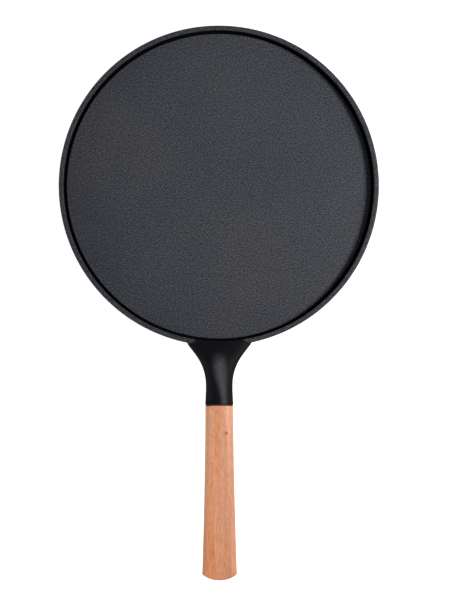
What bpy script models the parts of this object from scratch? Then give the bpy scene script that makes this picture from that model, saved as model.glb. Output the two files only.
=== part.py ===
# Round griddle pan: a cast plate with a gutter and a low rim, whose gooseneck
# grows out of the rim and carries a beech handle held by one long bolt.
# Metres, +Z up. The origin is the middle of the underside and the handle
# points along -Y.

import bpy
import bmesh
from math import cos, sin, tan, pi, radians, sqrt
from mathutils import Vector

# ---- driving dimensions -------------------------------------------------

# cast plate and rim
RIM_RADIUS = 0.1400
RIM_WIDTH = 0.0043
RIM_RISE = 0.0080        # rim above the cooking face
RIM_ROUND = 0.0011
RIM_INNER_ROUND = 0.0005
WALL_DRAFT = 0.0018      # lean of the outer wall over its height
FOOT_FILLET = 0.0030
PLATE_THICKNESS = 0.0056
PLATE_EDGE_ROUND = 0.0006
GUTTER_WIDTH = 0.0021
GUTTER_DEPTH = 0.0026
GUTTER_ROUND = 0.0008
BASE_GROOVE_RADIUS = 0.0980
BASE_GROOVE_WIDTH = 0.0040
BASE_GROOVE_DEPTH = 0.0007
TURN_STEPS = 96

# neck
NECK_REACH = 0.0505      # from the rim's outside to the handle joint
NECK_RISE = 0.0146       # extra rise of the top line over the handle's slope
NECK_TOP_EASE = 3.4
NECK_BELLY = 0.0061
NECK_BELLY_EASE = 2.6
NECK_FLARE_HALF = 0.0184  # half width that the flare adds at the rim
NECK_FLARE_LENGTH = 0.0380
NECK_FLARE_EASE = 2.4
NECK_WAIST_HALF = 0.0116
NECK_END_SWELL = 0.00065
NECK_ROOT_CLEAR = 0.0010  # underside of the root above the base
NECK_FLARE_SQUARENESS = 1.9   # nearly a ridge where the neck flares
NECK_SQUARENESS = 2.3    # at the joint
HANDLE_TILT = radians(6.0)

# spigot and threaded bush
SPIGOT_LENGTH = 0.0120
SPIGOT_HALF_HEIGHT = 0.0060
SPIGOT_KEY = 0.0016      # how far its round ends stand apart, each side
INSERT_LENGTH = 0.0140
INSERT_WALL = 0.0008
INSERT_SINK = 0.0005

# heat washer
HEAT_WASHER_THICKNESS = 0.0008
HEAT_WASHER_INSET = 0.0003

# handle
HANDLE_LENGTH = 0.1503   # from the neck's end to the crown of the butt
HANDLE_FRONT_HALF_WIDTH = 0.0120
HANDLE_FRONT_HALF_HEIGHT = 0.0103
HANDLE_SWELL_WIDTH = 0.0030
HANDLE_SWELL_HEIGHT = 0.0014
HANDLE_SWELL_EASE = 1.6
HANDLE_FRONT_SQUARENESS = 2.4
HANDLE_SQUARENESS = 3.8  # towards the butt
HANDLE_SQUARE_BY = 0.4   # share of the length over which that happens
CROWN_HEIGHT = 0.0048
CROWN_EDGE_ROUND = 0.0008

# bolt and washers
BOLT_RADIUS = 0.0030
BOLT_ENGAGEMENT = 0.0121  # reach of the bolt into the bush
BOLT_HEAD_RADIUS = 0.0050
BOLT_HEAD_HEIGHT = 0.0060
BOLT_SOCKET_RADIUS = 0.0029
BOLT_SOCKET_DEPTH = 0.0030
SPRING_WASHER_RADIUS = 0.0052
SPRING_WASHER_THICKNESS = 0.0016
SPRING_WASHER_SLIT = 0.0009
FLAT_WASHER_RADIUS = 0.0060
FLAT_WASHER_THICKNESS = 0.0014
COUNTERBORE_DEPTH = 0.0160
PLUG_CLEAR = 0.0005      # between the bolt's head and the plug over it

# clearances
SEAT_GAP = 0.0003        # between faces that rest on each other
FIT_GAP = 0.0003         # round a piece in its hole
BORE_GAP = 0.0004        # bolt in the long bore
COUNTERBORE_GAP = 0.0005

# ---- sizes that follow --------------------------------------------------

PAN_HEIGHT = PLATE_THICKNESS + RIM_RISE
WELL_RADIUS = RIM_RADIUS - RIM_WIDTH
PLATE_RADIUS = WELL_RADIUS - GUTTER_WIDTH
GUTTER_FLOOR = PLATE_THICKNESS - GUTTER_DEPTH
NECK_START = -(RIM_WIDTH + 0.0020)
NECK_TOP_START = PAN_HEIGHT - 0.0006
NECK_SPAN = NECK_REACH - NECK_START
JOINT_TOP = NECK_TOP_START + tan(HANDLE_TILT) * NECK_SPAN + NECK_RISE
JOINT_BOTTOM = NECK_ROOT_CLEAR + tan(HANDLE_TILT) * NECK_SPAN + NECK_BELLY
JOINT_HALF_HEIGHT = 0.5 * (JOINT_TOP - JOINT_BOTTOM)
JOINT_HEIGHT = 0.5 * (JOINT_TOP + JOINT_BOTTOM)
JOINT_HALF_WIDTH = NECK_WAIST_HALF + NECK_END_SWELL
BORE_RADIUS = BOLT_RADIUS + BORE_GAP
INSERT_BORE = BOLT_RADIUS + FIT_GAP
INSERT_RADIUS = INSERT_BORE + INSERT_WALL
INSERT_HOLE = INSERT_RADIUS + FIT_GAP
WASHER_BORE = BOLT_RADIUS + FIT_GAP
HANDLE_START = 2 * SEAT_GAP + HEAT_WASHER_THICKNESS
CROWN_HALF_WIDTH = HANDLE_FRONT_HALF_WIDTH + HANDLE_SWELL_WIDTH
COUNTERBORE_RADIUS = FLAT_WASHER_RADIUS + COUNTERBORE_GAP
COUNTERBORE_FLOOR = HANDLE_LENGTH - COUNTERBORE_DEPTH
FLAT_WASHER_SEAT = COUNTERBORE_FLOOR + SEAT_GAP
SPRING_WASHER_SEAT = FLAT_WASHER_SEAT + FLAT_WASHER_THICKNESS + SEAT_GAP
BOLT_HEAD_SEAT = SPRING_WASHER_SEAT + SPRING_WASHER_THICKNESS + SEAT_GAP
PLUG_SEAT = BOLT_HEAD_SEAT + BOLT_HEAD_HEIGHT + PLUG_CLEAR
INSERT_TOP = SPIGOT_LENGTH - INSERT_SINK
BOLT_TIP = INSERT_TOP - BOLT_ENGAGEMENT

# ---- scene --------------------------------------------------------------

for old in list(bpy.data.objects):
    bpy.data.objects.remove(old, do_unlink=True)

pan_collection = bpy.data.collections.new("griddle_pan")
bpy.context.scene.collection.children.link(pan_collection)
cutter_collection = bpy.data.collections.new("cutters")
bpy.context.scene.collection.children.link(cutter_collection)


def make_material(name, color, roughness, metallic=0.0):
    material = bpy.data.materials.new(name)
    material.use_nodes = True
    shader = material.node_tree.nodes["Principled BSDF"]
    shader.inputs["Base Color"].default_value = (*color, 1.0)
    shader.inputs["Roughness"].default_value = roughness
    shader.inputs["Metallic"].default_value = metallic
    material.diffuse_color = (*color, 1.0)
    return material


enamel = make_material("black_enamel", (0.030, 0.031, 0.035), 0.62)
beech = make_material("beech", (0.62, 0.33, 0.18), 0.55)
fibre = make_material("red_fibre", (0.13, 0.045, 0.022), 0.75)
bush_steel = make_material("bush_steel", (0.50, 0.49, 0.47), 0.35, 1.0)
bolt_steel = make_material("bolt_steel", (0.55, 0.55, 0.56), 0.30, 1.0)
ring_steel = make_material("ring_steel", (0.42, 0.42, 0.43), 0.40, 1.0)
washer_steel = make_material("washer_steel", (0.60, 0.60, 0.60), 0.33, 1.0)


def add_object(name, mesh, material=None, parent=None):
    obj = bpy.data.objects.new(name, mesh)
    if material:
        mesh.materials.append(material)
        pan_collection.objects.link(obj)
    else:
        cutter_collection.objects.link(obj)
        obj.hide_render = True
        obj.display_type = "WIRE"
    obj.parent = parent
    return obj


def arc(center_x, center_z, radius, start, stop, steps):
    points = []
    for i in range(steps + 1):
        angle = radians(start + (stop - start) * i / steps)
        points.append((center_x + radius * cos(angle), center_z + radius * sin(angle)))
    return points


def turned(name, profile, closed=False, material=None, parent=None, steps=TURN_STEPS):
    # a profile at +X, outer side from top to bottom, turned about Z
    mesh = bpy.data.meshes.new(name)
    bm = bmesh.new()
    verts = [bm.verts.new((x, 0.0, z)) for x, z in profile]
    for a, b in zip(verts, verts[1:]):
        bm.edges.new((a, b))
    if closed:
        bm.edges.new((verts[-1], verts[0]))
    bm.to_mesh(mesh)
    bm.free()
    obj = add_object(name, mesh, material, parent)
    screw = obj.modifiers.new("turn", "SCREW")
    screw.axis = "Z"
    screw.angle = radians(360.0)
    screw.steps = steps
    screw.render_steps = steps
    screw.use_merge_vertices = True
    screw.merge_threshold = 0.00001
    screw.use_smooth_shade = True
    return obj


def cut(obj, cutter, operation="DIFFERENCE"):
    boolean = obj.modifiers.new(cutter.name, "BOOLEAN")
    boolean.operation = operation
    boolean.solver = "EXACT"
    boolean.object = cutter
    return boolean


def rod(name, radius, bottom, top, parent=None, stretch=0.0, segments=32, material=None):
    # a cylinder along Z; stretch moves its two halves apart along X
    mesh = bpy.data.meshes.new(name)
    bm = bmesh.new()
    bmesh.ops.create_cone(
        bm, cap_ends=True, segments=segments,
        radius1=radius, radius2=radius, depth=top - bottom)
    bmesh.ops.translate(bm, verts=bm.verts, vec=(0.0, 0.0, 0.5 * (top + bottom)))
    for vert in bm.verts:
        if vert.co.x > radius * 0.01:
            vert.co.x += stretch
        elif vert.co.x < -radius * 0.01:
            vert.co.x -= stretch
    bm.to_mesh(mesh)
    bm.free()
    return add_object(name, mesh, material, parent)


def oval_ring(half_width, half_height, squareness, count=32):
    # points of a superellipse in its own plane, x to the side and y up
    ring = []
    power = 2.0 / squareness
    for i in range(count):
        angle = 2.0 * pi * i / count
        c = cos(angle)
        s = sin(angle)
        x = half_width * (abs(c) ** power) * (1 if c >= 0 else -1)
        y = half_height * (abs(s) ** power) * (1 if s >= 0 else -1)
        ring.append((x, y))
    return ring


def lofted(name, rings, material=None, parent=None):
    # skins a stack of rings with the same number of points and caps both ends
    mesh = bpy.data.meshes.new(name)
    bm = bmesh.new()
    stack = [[bm.verts.new(point) for point in ring] for ring in rings]
    for low, high in zip(stack, stack[1:]):
        for i in range(len(low)):
            j = (i + 1) % len(low)
            bm.faces.new((low[i], low[j], high[j], high[i]))
    bm.faces.new(list(reversed(stack[0])))
    bm.faces.new(stack[-1])
    bmesh.ops.recalc_face_normals(bm, faces=bm.faces)
    bm.to_mesh(mesh)
    bm.free()
    return add_object(name, mesh, material, parent)


# ---- pan body -----------------------------------------------------------

wall_foot = RIM_RADIUS - WALL_DRAFT
groove_outer = BASE_GROOVE_RADIUS + 0.5 * BASE_GROOVE_WIDTH
groove_inner = BASE_GROOVE_RADIUS - 0.5 * BASE_GROOVE_WIDTH

blank_profile = [(0.0, PAN_HEIGHT)]
blank_profile += arc(RIM_RADIUS - RIM_ROUND, PAN_HEIGHT - RIM_ROUND, RIM_ROUND, 90, 0, 3)
blank_profile += arc(wall_foot - FOOT_FILLET, FOOT_FILLET, FOOT_FILLET, 0, -90, 4)
blank_profile += [
    (groove_outer, 0.0),
    (groove_outer - BASE_GROOVE_DEPTH, BASE_GROOVE_DEPTH),
    (groove_inner + BASE_GROOVE_DEPTH, BASE_GROOVE_DEPTH),
    (groove_inner, 0.0),
    (0.0, 0.0),
]
pan_body = turned("pan_body", blank_profile, material=enamel)

# the hollow over the plate, with the gutter hanging from its edge
hollow_profile = [
    (0.0, PAN_HEIGHT + 0.040),
    (WELL_RADIUS + RIM_INNER_ROUND, PAN_HEIGHT + 0.040),
    (WELL_RADIUS + RIM_INNER_ROUND, PAN_HEIGHT),
    (WELL_RADIUS + 0.3 * RIM_INNER_ROUND, PAN_HEIGHT - 0.3 * RIM_INNER_ROUND),
    (WELL_RADIUS, PAN_HEIGHT - RIM_INNER_ROUND),
]
hollow_profile += arc(
    WELL_RADIUS - GUTTER_ROUND, GUTTER_FLOOR + GUTTER_ROUND, GUTTER_ROUND, 0, -90, 3)
hollow_profile += arc(
    PLATE_RADIUS + GUTTER_ROUND, GUTTER_FLOOR + GUTTER_ROUND, GUTTER_ROUND, 270, 180, 3)
hollow_profile += arc(
    PLATE_RADIUS - PLATE_EDGE_ROUND, PLATE_THICKNESS - PLATE_EDGE_ROUND,
    PLATE_EDGE_ROUND, 0, 90, 3)
hollow_profile += [(0.0, PLATE_THICKNESS)]
hollow = turned("hollow_cutter", hollow_profile)


def neck_top(u):
    return (NECK_TOP_START + tan(HANDLE_TILT) * NECK_SPAN * u
            + NECK_RISE * (1.0 - (1.0 - u) ** NECK_TOP_EASE))


def neck_bottom(u):
    return (JOINT_BOTTOM - tan(HANDLE_TILT) * NECK_SPAN * (1.0 - u)
            - NECK_BELLY * (1.0 - u) ** NECK_BELLY_EASE)


def neck_half_width(reach):
    # reach is measured outwards from the rim's outside
    flare_end = NECK_FLARE_LENGTH - 0.0020
    if reach < flare_end:
        left = (flare_end - reach) / NECK_FLARE_LENGTH
        return NECK_WAIST_HALF + NECK_FLARE_HALF * left ** NECK_FLARE_EASE
    out = (reach - flare_end) / (NECK_REACH - flare_end)
    return NECK_WAIST_HALF + NECK_END_SWELL * out ** 1.5


def neck_section(reach):
    u = max(0.0, (reach - NECK_START) / NECK_SPAN)
    half_height = 0.5 * (neck_top(u) - neck_bottom(u))
    height = 0.5 * (neck_top(u) + neck_bottom(u))
    lean = HANDLE_TILT * u
    squareness = (NECK_FLARE_SQUARENESS
                  + (NECK_SQUARENESS - NECK_FLARE_SQUARENESS) * u ** 2)
    ring = oval_ring(neck_half_width(reach), half_height, squareness)
    points = []
    for x, y in ring:
        points.append((x, -(RIM_RADIUS + reach) + y * sin(lean), height + y * cos(lean)))
    return points


neck_rings = [neck_section(NECK_START - 0.0050)]
neck_steps = 18
for i in range(neck_steps + 1):
    neck_rings.append(neck_section(NECK_START + NECK_SPAN * (i / neck_steps) ** 1.25))
neck = lofted("neck_shape", neck_rings)

# everything on the handle hangs on this empty: its Z runs out along the
# handle from the neck's end face, its Y points up
handle_axis = bpy.data.objects.new("handle_axis", None)
pan_collection.objects.link(handle_axis)
handle_axis.location = (0.0, -(RIM_RADIUS + NECK_REACH), JOINT_HEIGHT)
handle_axis.rotation_euler = (radians(90.0) - HANDLE_TILT, 0.0, 0.0)

spigot = rod(
    "spigot_shape", SPIGOT_HALF_HEIGHT, -0.0040, SPIGOT_LENGTH,
    parent=handle_axis, stretch=SPIGOT_KEY)
insert_hole = rod(
    "insert_hole_cutter", INSERT_HOLE,
    INSERT_TOP - INSERT_LENGTH - 0.0010, SPIGOT_LENGTH + 0.0020, parent=handle_axis)

cut(pan_body, neck, "UNION")
cut(pan_body, hollow)
cut(pan_body, spigot, "UNION")
cut(pan_body, insert_hole)

# ---- threaded bush ------------------------------------------------------

turned("thread_insert", [
    (INSERT_BORE, INSERT_TOP),
    (INSERT_RADIUS, INSERT_TOP),
    (INSERT_RADIUS, INSERT_TOP - INSERT_LENGTH),
    (INSERT_BORE, INSERT_TOP - INSERT_LENGTH),
], closed=True, material=bush_steel, parent=handle_axis, steps=32)

# ---- heat washer --------------------------------------------------------

washer_rings = []
for z in (SEAT_GAP, SEAT_GAP + HEAT_WASHER_THICKNESS):
    outline = oval_ring(
        JOINT_HALF_WIDTH - HEAT_WASHER_INSET, JOINT_HALF_HEIGHT - HEAT_WASHER_INSET,
        NECK_SQUARENESS)
    washer_rings.append([(x, y, z) for x, y in outline])
heat_washer = lofted("heat_washer", washer_rings, fibre, handle_axis)
washer_hole = rod(
    "heat_washer_cutter", SPIGOT_HALF_HEIGHT + FIT_GAP, -0.0050, 0.0100,
    parent=handle_axis, stretch=SPIGOT_KEY)
cut(heat_washer, washer_hole)

# ---- wooden handle ------------------------------------------------------


def handle_half_sizes(z):
    run = (z - HANDLE_START) / (HANDLE_LENGTH - HANDLE_START)
    swell = max(0.0, run) ** HANDLE_SWELL_EASE
    return (HANDLE_FRONT_HALF_WIDTH + HANDLE_SWELL_WIDTH * swell,
            HANDLE_FRONT_HALF_HEIGHT + HANDLE_SWELL_HEIGHT * swell)


def handle_ring(z, inset=0.0):
    half_width, half_height = handle_half_sizes(z)
    run = max(0.0, (z - HANDLE_START) / (HANDLE_LENGTH - HANDLE_START))
    squareness = (HANDLE_FRONT_SQUARENESS
                  + (HANDLE_SQUARENESS - HANDLE_FRONT_SQUARENESS)
                  * min(1.0, run / HANDLE_SQUARE_BY))
    ring = oval_ring(half_width - inset, half_height - inset, squareness, 48)
    return [(x, y, z) for x, y in ring]


def crown_height(x):
    # the butt is crowned from side to side and straight from top to bottom
    return HANDLE_LENGTH - CROWN_HEIGHT * (x / CROWN_HALF_WIDTH) ** 2


# straight run, then the rounded edge, then the crowned end
straight_end = HANDLE_LENGTH - CROWN_HEIGHT - 2 * CROWN_EDGE_ROUND
handle_rings = []
for i in range(11):
    handle_rings.append(handle_ring(
        HANDLE_START + (straight_end - HANDLE_START) * i / 10))
for i in range(4):
    angle = radians(30.0 * i)
    inset = CROWN_EDGE_ROUND * (1.0 - cos(angle))
    drop = CROWN_EDGE_ROUND * (1.0 - sin(angle))
    ring = handle_ring(HANDLE_LENGTH, inset)
    handle_rings.append([(x, y, crown_height(x) - drop) for x, y, _ in ring])
for shrink in (0.8, 0.6, 0.4, 0.2):
    handle_rings.append([
        (x * shrink, y * shrink, crown_height(x * shrink)) for x, y, _ in ring])
wood_handle = lofted("wood_handle", handle_rings, beech, handle_axis)

mortise = rod(
    "mortise_cutter", SPIGOT_HALF_HEIGHT + FIT_GAP, -0.0050, SPIGOT_LENGTH + SEAT_GAP,
    parent=handle_axis, stretch=SPIGOT_KEY)
bore = rod(
    "bore_cutter", BORE_RADIUS, 0.0, HANDLE_LENGTH + 0.010, parent=handle_axis)
counterbore = rod(
    "counterbore_cutter", COUNTERBORE_RADIUS, COUNTERBORE_FLOOR, HANDLE_LENGTH + 0.010,
    parent=handle_axis)
cut(wood_handle, mortise)
cut(wood_handle, bore)
cut(wood_handle, counterbore)

# the plug that closes the counterbore, flush with the crown
butt_plug = rod(
    "butt_plug", COUNTERBORE_RADIUS - FIT_GAP, PLUG_SEAT, HANDLE_LENGTH + 0.010,
    parent=handle_axis, material=beech)
handle_blank = lofted("handle_blank", handle_rings, parent=handle_axis)
cut(butt_plug, handle_blank, "INTERSECT")

# ---- bolt and washers ---------------------------------------------------


def ring_profile(outer, inner, bottom, thickness):
    return [(inner, bottom + thickness), (outer, bottom + thickness),
            (outer, bottom), (inner, bottom)]


turned(
    "flat_washer",
    ring_profile(FLAT_WASHER_RADIUS, WASHER_BORE, FLAT_WASHER_SEAT, FLAT_WASHER_THICKNESS),
    closed=True, material=washer_steel, parent=handle_axis, steps=32)

spring_washer = turned(
    "spring_washer",
    ring_profile(
        SPRING_WASHER_RADIUS, WASHER_BORE, SPRING_WASHER_SEAT, SPRING_WASHER_THICKNESS),
    closed=True, material=ring_steel, parent=handle_axis, steps=32)
slit_mesh = bpy.data.meshes.new("slit_cutter")
slit_bm = bmesh.new()
bmesh.ops.create_cube(slit_bm, size=1.0)
bmesh.ops.scale(
    slit_bm, verts=slit_bm.verts,
    vec=(SPRING_WASHER_RADIUS, SPRING_WASHER_SLIT, 3 * SPRING_WASHER_THICKNESS))
bmesh.ops.translate(
    slit_bm, verts=slit_bm.verts,
    vec=(0.8 * SPRING_WASHER_RADIUS, 0.0,
         SPRING_WASHER_SEAT + 0.5 * SPRING_WASHER_THICKNESS))
slit_bm.to_mesh(slit_mesh)
slit_bm.free()
slit = add_object("slit_cutter", slit_mesh, parent=handle_axis)
cut(spring_washer, slit)

head_top = BOLT_HEAD_SEAT + BOLT_HEAD_HEIGHT
tie_bolt = turned("tie_bolt", [
    (0.0, head_top),
    (BOLT_HEAD_RADIUS - 0.0004, head_top),
    (BOLT_HEAD_RADIUS, head_top - 0.0004),
    (BOLT_HEAD_RADIUS, BOLT_HEAD_SEAT),
    (BOLT_RADIUS, BOLT_HEAD_SEAT),
    (BOLT_RADIUS, BOLT_TIP + 0.0008),
    (BOLT_RADIUS - 0.0008, BOLT_TIP),
    (0.0, BOLT_TIP),
], material=bolt_steel, parent=handle_axis, steps=32)
socket = rod(
    "socket_cutter", BOLT_SOCKET_RADIUS, head_top - BOLT_SOCKET_DEPTH, head_top + 0.002,
    parent=handle_axis, segments=6)
cut(tie_bolt, socket)

for obj in pan_collection.objects:
    if obj.type == "MESH" and obj.name in ("pan_body", "wood_handle", "heat_washer"):
        obj.data.shade_smooth()
bpy.context.view_layer.update()
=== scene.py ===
import math
import bmesh
import bpy
from mathutils import Matrix, Vector


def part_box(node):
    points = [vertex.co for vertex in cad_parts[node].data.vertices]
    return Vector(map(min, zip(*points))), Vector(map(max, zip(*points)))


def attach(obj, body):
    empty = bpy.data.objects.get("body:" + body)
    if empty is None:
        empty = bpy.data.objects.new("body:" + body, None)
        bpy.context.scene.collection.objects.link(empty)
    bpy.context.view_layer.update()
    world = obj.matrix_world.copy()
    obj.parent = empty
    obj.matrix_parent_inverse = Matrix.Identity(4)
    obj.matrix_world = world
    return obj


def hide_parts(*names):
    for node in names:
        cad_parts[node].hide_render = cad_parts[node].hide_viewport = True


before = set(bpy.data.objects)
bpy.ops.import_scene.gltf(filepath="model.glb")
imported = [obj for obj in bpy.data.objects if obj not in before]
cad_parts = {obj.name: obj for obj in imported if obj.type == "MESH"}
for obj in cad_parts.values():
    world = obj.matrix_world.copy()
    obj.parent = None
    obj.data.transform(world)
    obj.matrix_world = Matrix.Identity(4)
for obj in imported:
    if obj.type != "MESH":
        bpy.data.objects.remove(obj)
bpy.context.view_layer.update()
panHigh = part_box("pan_body")[1]
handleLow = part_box("wood_handle")[0]
print("frame read,", len(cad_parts), "nodes,", round(panHigh[1] - handleLow[1], 4), "m long")

# sizes that several pieces share, in metres
pan = {
    "rimRadius": panHigh[0],
    "rimHeight": 0.0136,
    "rimWidth": 0.0043,
    "plateTop": 0.0056,
    "plateRadius": 0.1336,
    "gutterFloor": 0.0030,
}
joint = {
    "place": Vector((0.0, -0.1905, 0.02332)),
    "tilt": math.radians(6.0),
    "halfWidth": 0.01225,
    "halfHeight": 0.01025,
    "spigot": (0.0076, 0.0060),    # half sizes of the neck's spigot and of the hole it goes into
    "mortise": (0.0079, 0.0063),
    "keySquare": 2.6,              # squareness of both
}
# along the handle: x to the side, y up, z from the joint to the butt
handleFrame = (Matrix.Translation(joint["place"])
               @ Matrix.Rotation(math.radians(90.0) - joint["tilt"], 4, "X"))


def addNode(tree, kind, place=(0, 0), **values):
    node = tree.nodes.new(kind)
    node.location = place
    for key, value in values.items():
        if key.startswith("in_"):
            node.inputs[int(key[3:])].default_value = value
        else:
            setattr(node, key, value)
    return node


def addRamp(tree, stops, place=(0, 0)):
    node = tree.nodes.new("ShaderNodeValToRGB")
    node.location = place
    ramp = node.color_ramp
    while len(ramp.elements) < len(stops):
        ramp.elements.new(0.5)
    for element, (position, color) in zip(ramp.elements, stops):
        element.position = position
        element.color = (*color, 1.0) if len(color) == 3 else color
    return node


def grey(value):
    return (value, value, value)


def newGroup(name, inputs, outputs):
    tree = bpy.data.node_groups.new(name, "ShaderNodeTree")
    for label, kind, value in inputs:
        socket = tree.interface.new_socket(label, in_out="INPUT", socket_type=kind)
        if value is not None:
            socket.default_value = value
    for label, kind in outputs:
        tree.interface.new_socket(label, in_out="OUTPUT", socket_type=kind)
    entry = addNode(tree, "NodeGroupInput", (-900, 0))
    leave = addNode(tree, "NodeGroupOutput", (900, 0))
    return tree, entry, leave


def makeFineGrain():
    # the close random grain of fired or blasted surfaces, two sizes laid over each other
    tree, entry, leave = newGroup(
        "fineGrain",
        [("Vector", "NodeSocketVector", None), ("Scale", "NodeSocketFloat", 600.0),
         ("Soft", "NodeSocketFloat", 0.5)],
        [("Mask", "NodeSocketFloat"), ("Height", "NodeSocketFloat")])
    join = tree.links.new
    coarse = addNode(tree, "ShaderNodeTexNoise", (-600, 200), in_3=2.0, in_4=0.6)
    finer = addNode(tree, "ShaderNodeMath", (-750, -150), operation="MULTIPLY", in_1=2.7)
    fine = addNode(tree, "ShaderNodeTexNoise", (-600, -200), in_3=1.0, in_4=0.5)
    join(entry.outputs["Vector"], coarse.inputs["Vector"])
    join(entry.outputs["Vector"], fine.inputs["Vector"])
    join(entry.outputs["Scale"], coarse.inputs["Scale"])
    join(entry.outputs["Scale"], finer.inputs[0])
    join(finer.outputs[0], fine.inputs["Scale"])
    blend = addNode(tree, "ShaderNodeMix", (-300, 0), data_type="FLOAT")
    join(entry.outputs["Soft"], blend.inputs[0])
    join(coarse.outputs[0], blend.inputs[2])
    join(fine.outputs[0], blend.inputs[3])
    spread = addNode(tree, "ShaderNodeMapRange", (0, 0), in_1=0.28, in_2=0.72)
    join(blend.outputs[0], spread.inputs[0])
    join(spread.outputs[0], leave.inputs["Mask"])
    join(blend.outputs[0], leave.inputs["Height"])
    return tree


def makeSoftPatches():
    # slow uneven tone, as handling, heat and wiping leave
    tree, entry, leave = newGroup(
        "softPatches",
        [("Vector", "NodeSocketVector", None), ("Scale", "NodeSocketFloat", 20.0)],
        [("Mask", "NodeSocketFloat")])
    join = tree.links.new
    cloud = addNode(tree, "ShaderNodeTexNoise", (-500, 0), in_3=4.0, in_4=0.55, in_8=0.4)
    spread = addNode(tree, "ShaderNodeMapRange", (-200, 0), in_1=0.3, in_2=0.7)
    join(entry.outputs["Vector"], cloud.inputs["Vector"])
    join(entry.outputs["Scale"], cloud.inputs["Scale"])
    join(cloud.outputs[0], spread.inputs[0])
    join(spread.outputs[0], leave.inputs["Mask"])
    return tree


fineGrain = makeFineGrain()
softPatches = makeSoftPatches()
print("shared groups made")


def newMaterial(name, metallic=0.0, specular=0.5):
    material = bpy.data.materials.new(name)
    material.use_nodes = True
    tree = material.node_tree
    shader = tree.nodes["Principled BSDF"]
    shader.inputs["Metallic"].default_value = metallic
    shader.inputs["Specular IOR Level"].default_value = specular
    spot = addNode(tree, "ShaderNodeTexCoord", (-1400, 0))
    return material, tree, shader, spot.outputs["Object"]


def useGroup(tree, group, vector, place=(0, 0), **values):
    node = addNode(tree, "ShaderNodeGroup", place, node_tree=group)
    tree.links.new(vector, node.inputs["Vector"])
    for key, value in values.items():
        node.inputs[key].default_value = value
    return node


def mixColor(tree, factor, first, second, place=(0, 0), blend="MIX"):
    node = addNode(tree, "ShaderNodeMix", place, data_type="RGBA", blend_type=blend)
    for value, socket in ((factor, node.inputs[0]), (first, node.inputs[6]), (second, node.inputs[7])):
        if isinstance(value, bpy.types.NodeSocket):
            tree.links.new(value, socket)
        elif isinstance(value, (int, float)):
            socket.default_value = value
        else:
            socket.default_value = (*value, 1.0)
    return node.outputs[2]


def addBump(tree, height, shader, strength, distance, under=None, place=(0, 0)):
    node = addNode(tree, "ShaderNodeBump", place)
    node.inputs["Strength"].default_value = strength
    node.inputs["Distance"].default_value = distance
    tree.links.new(height, node.inputs["Height"])
    if under is not None:
        tree.links.new(under.outputs[0], node.inputs["Normal"])
    if shader is not None:
        tree.links.new(node.outputs[0], shader.inputs["Normal"])
    return node


def mapRange(tree, value, low, high, place=(0, 0)):
    node = addNode(tree, "ShaderNodeMapRange", place, in_3=low, in_4=high)
    tree.links.new(value, node.inputs[0])
    return node.outputs[0]


enamelLook = {
    "grainScale": 900.0,
    "patchScale": 14.0,
    "driftScale": 7.5,
    "grainDark": (0.009, 0.0095, 0.0125),
    "grainLight": (0.138, 0.140, 0.160),
    "dulled": (0.90, 0.92, 0.96),
    "wiped": (1.08, 1.07, 1.05),
    "cool": (0.87, 0.95, 1.06),
    "warm": (1.05, 1.03, 0.99),
    "smoothDark": (0.0026, 0.0028, 0.0035),
    "smoothLight": (0.0048, 0.0050, 0.0060),
    # the gutter's tones are darker than the smooth coat's: painted shade in the groove
    "gutterShadeDark": (0.0010, 0.0012, 0.0015),
    "gutterShadeLight": (0.0024, 0.0026, 0.0030),
    "rimTone": (0.74, 0.74, 0.76),
    "rimFrom": 0.133,         # the darker rim tone comes in between these radii
    "rimFull": 0.135,
    "peelScale": 620.0,
    "cloudScale": 28.0,
    # colour of the painted highlight on the neck's crest
    "paintedHighlight": (0.066, 0.068, 0.077),
}
# where the painted highlight on the neck's crest lies, standing in for the lamps' sheen there
paintedHighlightBand = {
    "start": -0.143,          # where the painted highlight begins along the neck, and where it is full
    "full": -0.158,
    "rootEnd": -0.156,
    "gripEnd": -0.188,
    "rootDrift": 0.0002,
    "gripDrift": 0.0040,
    "rootWidth": 0.0086,
    "gripWidth": 0.0042,
    "lowest": 0.017,          # height below which no highlight is painted, and above which all of it is
    "highest": 0.021,
    "gripShare": 0.66,        # how much of the painted highlight is left beside the grip
}


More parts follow.
